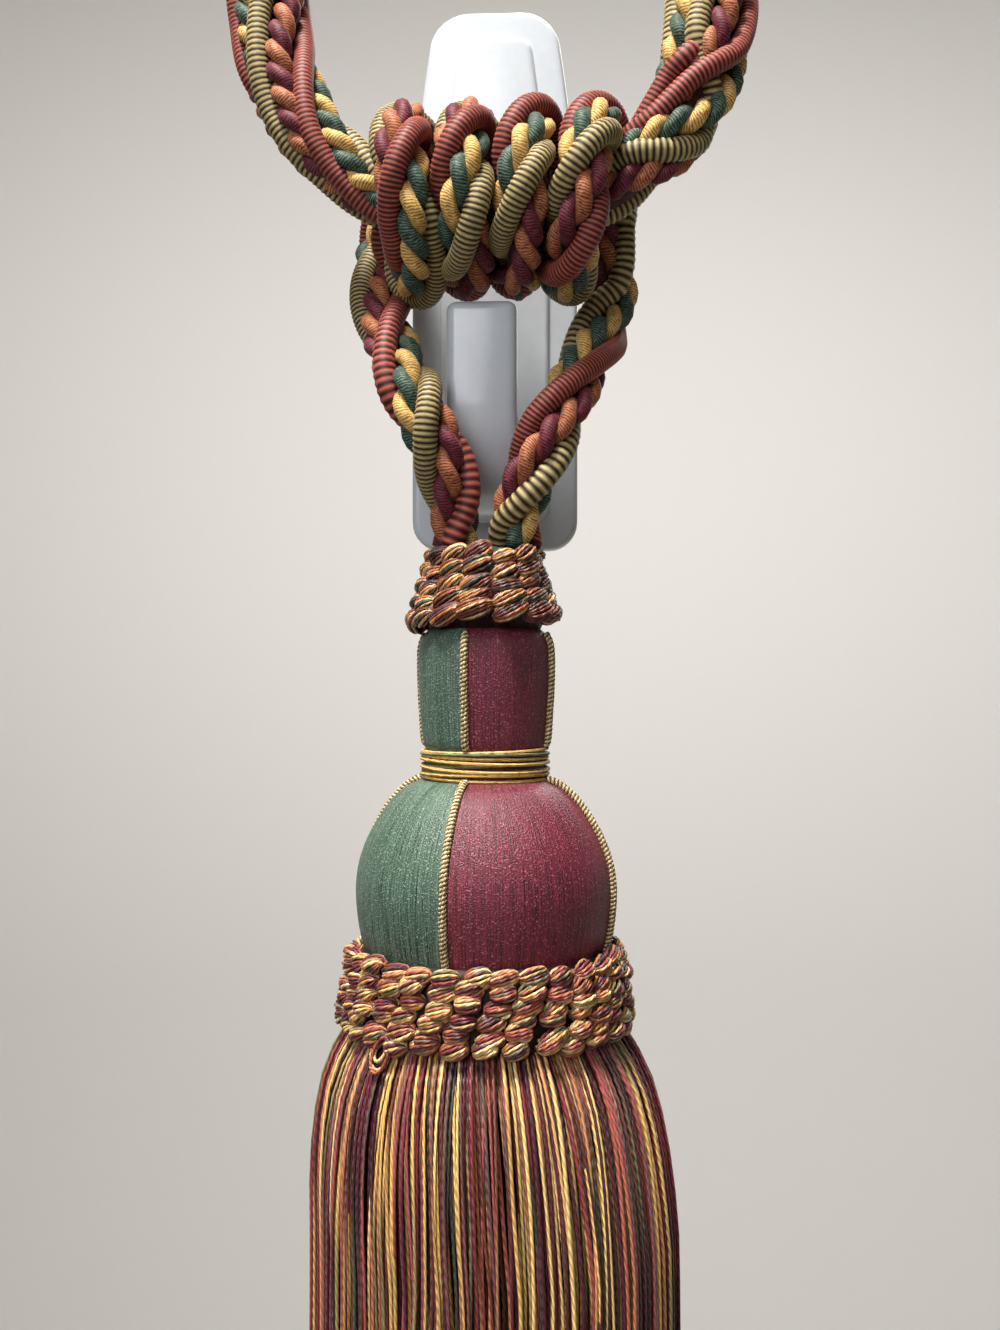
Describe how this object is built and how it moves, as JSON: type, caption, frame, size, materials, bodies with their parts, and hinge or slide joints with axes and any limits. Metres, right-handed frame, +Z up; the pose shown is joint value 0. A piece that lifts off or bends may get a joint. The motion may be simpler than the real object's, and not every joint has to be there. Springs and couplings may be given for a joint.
{
  "type": "curtain tieback tassel on adhesive wall hook",
  "caption": "Curtain tieback hanging on an adhesive wall hook: a thick rope loop, a rope wound round it, and a tassel with ruffs, a thread-wound head and a long fringe.",
  "frame": {"origin": "middle of the flat back face of the hook's plate, on the wall", "axes": "+Y into the wall, -Y towards the room, +X to the right as seen from the room, +Z up"},
  "size_m": [0.1208, 0.0812, 0.5624],
  "materials": {
    "hook_plastic": "glossy white moulded plastic",
    "loop_rope_yarn": "thick twisted rope of gimp-wrapped cords and two-ply cords",
    "hanging_rope_yarn": "twisted rope of gimp-wrapped cords and two-ply cords",
    "ruff_yarn": "looped and knotted multicolour yarn",
    "head_thread": "fine shiny thread wound in green and burgundy panels",
    "seam_cord_yarn": "fine two-colour twisted cord",
    "binding_thread": "gold threads wound side by side",
    "skirt_yarn": "fringe of fine wavy threads in mixed colours"
  },
  "bodies": {
    "root": {"hook": "hook_plastic", "loop_rope": "loop_rope_yarn", "hanging_rope": "hanging_rope_yarn", "upper_ruff": "ruff_yarn", "head": "head_thread", "seam_cord_1": "seam_cord_yarn", "seam_cord_2": "seam_cord_yarn", "seam_cord_3": "seam_cord_yarn", "seam_cord_4": "seam_cord_yarn", "neck_binding": "binding_thread", "lower_ruff": "ruff_yarn", "skirt": "skirt_yarn"}
  },
  "joints": []
}
